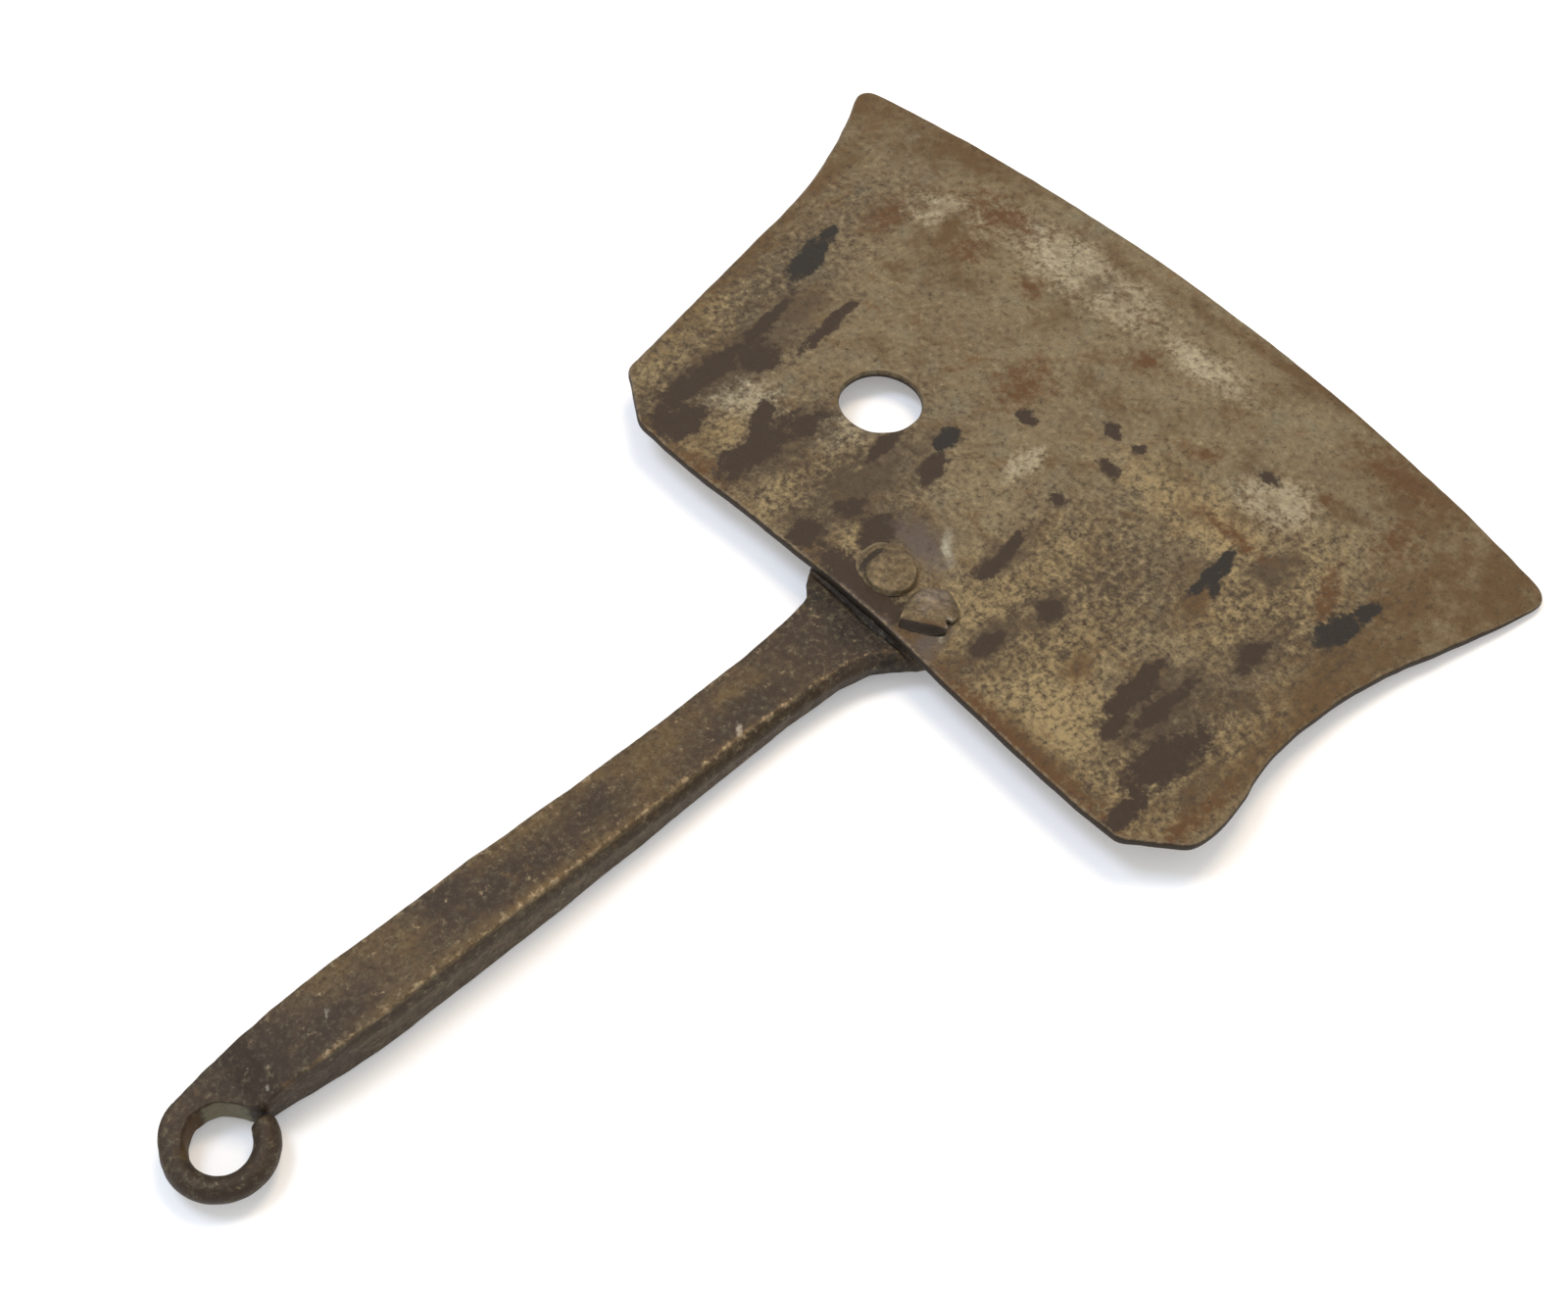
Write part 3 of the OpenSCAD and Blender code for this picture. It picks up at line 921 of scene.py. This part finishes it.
# %% [markdown]
# ## Old forged iron
# Wrought iron leaves the fire with a dark scale. Years of wiping and grease turn it olive
# brown, the high spots are rubbed back to bare metal, and damp leaves rust and black
# spots. A picture wrapped round would stretch over the rims. Noise in space has no seam,
# so the finish is made of layers of it, from the ground up. A layer says where it lies,
# how ragged its line is and how fine the grain is that breaks it, then its colour, how
# rough it is and how much of the bare metal shows. One without a mark lies all over.
# Where its grain is the pits' own, it takes the high spots, or the hollows if its
# raggedness is below zero.
#
# Pits in old scale are 0.3 to 0.5 mm across, too fine to show from where the camera
# stands. Here they are drawn at 1.4 to 2 mm, with finer detail inside.

# %% The layered iron finish
CLOUD_MM, FINE_MM, DENT_MM = 24, 1.6, 3.2


def forged_iron(name, ground, layers, pit_mm, pit_depth_mm):
    """ground: two colours. A layer: mark, offset, ragged, grain, soft, colour, rough, metal."""
    finish = bpy.data.materials.new(name)
    finish.use_nodes = True
    tree = finish.node_tree
    tree.nodes.clear()
    where = add(tree, "ShaderNodeTexCoord").outputs["Object"]
    broad = add(tree, "ShaderNodeTexNoise", {"Vector": where, "Scale": per_metre(CLOUD_MM),
                "Detail": 6.0, "Roughness": 0.6})
    fine = add(tree, "ShaderNodeTexNoise", {"Vector": where, "Scale": per_metre(FINE_MM),
               "Detail": 5.0, "Roughness": 0.65})
    blend = add(tree, "ShaderNodeMath", {0: broad.outputs[0], 1: fine.outputs[0]},
                operation="ADD")
    spread = add(tree, "ShaderNodeMapRange", {0: blend.outputs[0], 1: 0.75, 2: 1.25})
    colour = add(tree, "ShaderNodeMix", {0: spread.outputs[0], 6: linear(ground[0]),
                 7: linear(ground[1])}, data_type="RGBA").outputs[2]
    rough = add(tree, "ShaderNodeMapRange", {0: fine.outputs[0], 1: 0.3, 2: 0.7,
                3: 0.42, 4: 0.6}).outputs[0]
    metal = add(tree, "ShaderNodeMapRange", {0: broad.outputs[0], 1: 0.3, 2: 0.7,
                3: 0.55, 4: 0.75}).outputs[0]
    for mark, offset, ragged, grain, soft, shade, layer_rough, layer_metal in layers:
        breaker = add(tree, "ShaderNodeTexNoise", {"Vector": where,
                      "Scale": per_metre(grain), "Detail": 7.0, "Roughness": 0.72})
        swing = add(tree, "ShaderNodeMapRange", {0: breaker.outputs[0], 1: 0.3, 2: 0.7,
                    3: offset - ragged, 4: offset + ragged}, clamp=False).outputs[0]
        if mark:
            field = add(tree, "ShaderNodeAttribute", attribute_name=mark)
            swing = add(tree, "ShaderNodeMath", {0: swing, 1: field.outputs["Fac"]},
                        operation="ADD").outputs[0]
        cover = add(tree, "ShaderNodeMapRange", {0: swing, 1: -soft, 2: soft},
                    interpolation_type="SMOOTHSTEP").outputs[0]
        colour = add(tree, "ShaderNodeMix", {0: cover, 6: colour, 7: linear(shade)},
                     data_type="RGBA").outputs[2]
        rough = add(tree, "ShaderNodeMix", {0: cover, 2: rough, 3: layer_rough}).outputs[0]
        metal = add(tree, "ShaderNodeMix", {0: cover, 2: metal, 3: layer_metal}).outputs[0]
    pits = add(tree, "ShaderNodeTexNoise", {"Vector": where, "Scale": per_metre(pit_mm),
               "Detail": 7.0, "Roughness": 0.72})
    dents = add(tree, "ShaderNodeTexNoise", {"Vector": where, "Scale": per_metre(DENT_MM),
                "Detail": 3.0})
    dented = add(tree, "ShaderNodeBump", {"Height": dents.outputs[0], "Strength": 0.5,
                 "Distance": 1.2 * pit_depth_mm * MM})
    bump = add(tree, "ShaderNodeBump", {"Height": pits.outputs[0], "Strength": 0.7,
               "Distance": pit_depth_mm * MM, "Normal": dented.outputs[0]})
    iron = add(tree, "ShaderNodeBsdfPrincipled", {"Base Color": colour, "Roughness": rough,
               "Metallic": metal, "Normal": bump.outputs[0], "Specular IOR Level": 0.3})
    add(tree, "ShaderNodeOutputMaterial", {"Surface": iron.outputs[0]})
    print(name, "has", len(layers), "layers over its ground")
    return finish


# %% The blade's finish
# Wrought iron sheet, hammered and left in its scale: olive brown, dull, with speckled
# rubbed metal, crisp dark stains and a rusty rim.
BLADE_PIT = 1.9
blade_finish = forged_iron("hammered_wrought_iron", ("#685a43", "#85775b"), [
    (None, -0.7, 1.3, 11, 0.9, "#746d58", 0.5, 0.6),
    (None, -0.9, 1.5, 7.5, 0.9, "#6d5233", 0.6, 0.4),
    ("silver", -0.15, 1.0, BLADE_PIT, 1.0, "#aba289", 0.42, 0.8),
    ("silver", -0.5, 0.9, 6, 0.8, "#8a8068", 0.45, 0.8),
    ("gold", -0.1, 1.0, BLADE_PIT, 1.0, "#96845f", 0.5, 0.7),
    ("haze", 0.0, 0.8, 5, 0.8, "#544634", 0.6, 0.3),
    ("brown", -0.1, 0.8, 5, 0.9, "#5e482c", 0.6, 0.4),
    (None, -0.7, 1.5, 15, 0.9, "#5d4a31", 0.6, 0.4),
    ("mottle", -0.5, -1.6, BLADE_PIT, 1.3, "#4b3e2e", 0.65, 0.3),
    ("rust", -0.1, 1.0, 2.5, 0.9, "#5b3f24", 0.7, 0.2),
    ("patina", 0.0, 0.55, 3, 0.24, "#3b2f24", 0.55, 0.4),
    ("smear", -0.1, 0.7, 3.5, 0.9, "#5b5149", 0.5, 0.5),
    ("black", 0.05, 0.4, 3, 0.22, "#241f18", 0.5, 0.2),
    (None, -1.6, 1.8, 2.2, 0.5, "#44351f", 0.7, 0.2),
    (None, -1.2, -1.5, BLADE_PIT, 1.2, "#3c301f", 0.7, 0.2),
    ("edge_line", -0.95, 0.6, 2.0, 0.5, "#7f7059", 0.45, 0.8),
    # Dark sides of the rims; on the hole's wall only the lower half, which is painted shade
    # under the plate.
    ("edge_side", -0.5, 0.2, 2.5, 0.3, "#352c23", 0.65, 0.3),
    ("scratch", -0.1, 0.5, 2.0, 0.9, "#97927f", 0.4, 0.9),
], BLADE_PIT, 0.7)

# %% The handle's finish
# Wrought iron bar, drawn out under the hammer and darkened by hands and smoke: nearly
# black brown on its flats, with golden metal and a painted highlight where the top corners rub.
HANDLE_PIT = 1.4
handle_finish = forged_iron("drawn_wrought_iron", ("#41352a", "#4f4131"), [
    ("gold", -0.05, 0.8, 6, 1.1, "#57472f", 0.5, 0.6),
    (None, -1.0, 1.0, HANDLE_PIT, 1.2, "#665740", 0.45, 0.7),
    (None, -0.8, -1.2, HANDLE_PIT, 1.0, "#281f16", 0.6, 0.3),
    ("dark", 0.1, 0.5, 4, 0.8, "#372c22", 0.55, 0.4),
    # Painted shade where the bar runs in under the blade's back edge.
    ("painted_shade_at_blade_back", -0.1, 0.6, 3, 0.6, "#211a13", 0.6, 0.3),
    ("chamfer", -0.6, 0.6, 2.4, 0.5, "#352818", 0.6, 0.3),
    # Rubbed top corners: bare metal, with a painted highlight along them where light catches the
    # bevel.
    ("worn", -0.8, 0.9, 6, 0.6, "#604d36", 0.5, 0.6),
    ("worn", -1.0, 1.2, 2.2, 0.6, "#8e7d62", 0.4, 0.8),
    ("wall_rust", -0.5, 0.3, 2.0, 0.4, "#4e3717", 0.65, 0.3),
    ("wall_grey", -0.5, 0.5, 1.6, 0.6, "#736d55", 0.5, 0.5),
    ("chip", 0.0, 0.5, 0.8, 0.6, "#7f786c", 0.35, 0.9),
], HANDLE_PIT, 0.3)

# %% The rivets' finish
# Rivets of the same iron, their heads beaten smooth: brown grey with brighter rims.
RIVET_PIT = 2.0
rivet_finish = forged_iron("beaten_rivet_iron", ("#5b4d3a", "#73644a"), [
    ("worn", -0.8, 0.6, 1.5, 0.7, "#7f7057", 0.4, 0.7),
    ("grey", -0.2, 0.6, 2.4, 0.8, "#756a5e", 0.45, 0.7),
    (None, -0.7, -1.3, RIVET_PIT, 1.2, "#3a2d1c", 0.65, 0.3),
    (None, -0.9, 1.2, RIVET_PIT, 1.2, "#8c7c5e", 0.45, 0.7),
    ("rust", -0.1, 0.6, 1.6, 0.8, "#574027", 0.7, 0.2),
    # Painted shade in the left head's crack and on the right head's cut side.
    ("painted_shade_in_crack_and_cut", -0.35, 0.4, 1.4, 0.35, "#362d24", 0.6, 0.3),
    ("scrape", -0.1, 0.6, 1.0, 0.6, "#908a7d", 0.4, 0.9),
], RIVET_PIT, 0.5)

for piece, finish in ((blade, blade_finish), (handle, handle_finish),
                      (left_rivet, rivet_finish), (right_rivet, rivet_finish)):
    piece.data.materials.append(finish)

# %% [markdown]
# ## The table, the light and the camera
# The tool lies on a plain white table under soft light from all round. One strong sun
# would give a hard black shadow. A cool window on the left of the tool and a warm lamp
# beyond its cutting edge, both wide, give short soft ones instead. Each fills the
# other's shadow, so those on the right are warm and those behind cool.

# %% Table
FLOOR_HALF = 1.6
floor_mesh = bpy.data.meshes.new("table")
floor_shape = bmesh.new()
bmesh.ops.create_grid(floor_shape, x_segments=8, y_segments=8, size=FLOOR_HALF)
floor_shape.to_mesh(floor_mesh)
floor_shape.free()
floor = bpy.data.objects.new("table", floor_mesh)
bpy.context.scene.collection.objects.link(floor)

table_finish = bpy.data.materials.new("matt_white_board")
table_finish.use_nodes = True
table_tree = table_finish.node_tree
board = table_tree.nodes["Principled BSDF"]
grain = add(table_tree, "ShaderNodeTexNoise", {"Scale": per_metre(160), "Detail": 2.0})
board_colour = add(table_tree, "ShaderNodeMix", {0: grain.outputs[0], 6: linear("#e4e4e2"),
                   7: linear("#e7e7e5")}, data_type="RGBA")
table_tree.links.new(board_colour.outputs[2], board.inputs["Base Color"])
board.inputs["Roughness"].default_value = 0.9
board.inputs["Specular IOR Level"].default_value = 0.2
# The board glows a little, in place of light that a whole white room would send back: it
# keeps the shadows pale.
board.inputs["Emission Color"].default_value = linear("#f3f3f6")
board.inputs["Emission Strength"].default_value = 0.25
floor_mesh.materials.append(table_finish)
print("the table is", 2 * FLOOR_HALF, "m wide")

# %% Light
world = bpy.data.worlds.new("soft_room")
world.use_nodes = True
room = world.node_tree.nodes["Background"]
room.inputs["Color"].default_value = linear("#ffffff")
room.inputs["Strength"].default_value = 0.75
bpy.context.scene.world = world


def soft_lamp(name, power, size, at, aim, colour):
    lamp = bpy.data.lights.new(name, "AREA")
    lamp.energy = power
    lamp.size = size
    lamp.color = linear(colour)[:3]
    holder = bpy.data.objects.new(name, lamp)
    holder.location = at
    holder.rotation_euler = (Vector(aim) - Vector(at)).to_track_quat("-Z", "Y").to_euler()
    bpy.context.scene.collection.objects.link(holder)


soft_lamp("window", 9.0, 0.5, (-0.27, 0.56, 1.35), (0, 0, 0), "#d3e3ff")
soft_lamp("room_lamp", 9.0, 0.5, (0.57, 0.19, 1.35), (0, 0, 0), "#ffe6c4")
print("lamps:", [light.name for light in bpy.data.lights])

# %% Camera
# It looks down at the tool from the side of the handle's end, across its right flank:
# the place it looks at and its distance in mm, and its angles in degrees.
LOOK_AT = (15.0, -3.1, 0.0)
DISTANCE = 620.2
DOWN = 55.13
HEADING = 42.86
SENSOR = 36.0
FOCAL = 58.5
camera = bpy.data.cameras.new("camera")
camera.sensor_width = SENSOR
camera.sensor_fit = "HORIZONTAL"
camera.lens = FOCAL
camera.clip_start = 0.01
viewer = bpy.data.objects.new("camera", camera)
ahead_on_table = polar(math.cos(math.radians(DOWN)), 90 - HEADING)
viewer.location = [
    (LOOK_AT[0] - DISTANCE * ahead_on_table[0]) * MM,
    (LOOK_AT[1] - DISTANCE * ahead_on_table[1]) * MM,
    DISTANCE * math.sin(math.radians(DOWN)) * MM,
]
viewer.rotation_euler = (math.radians(90 - DOWN), 0, math.radians(-HEADING))
bpy.context.scene.collection.objects.link(viewer)
bpy.context.scene.camera = viewer
bpy.context.scene.view_settings.view_transform = "Standard"
print("the camera is at", tuple(round(v, 3) for v in viewer.location))
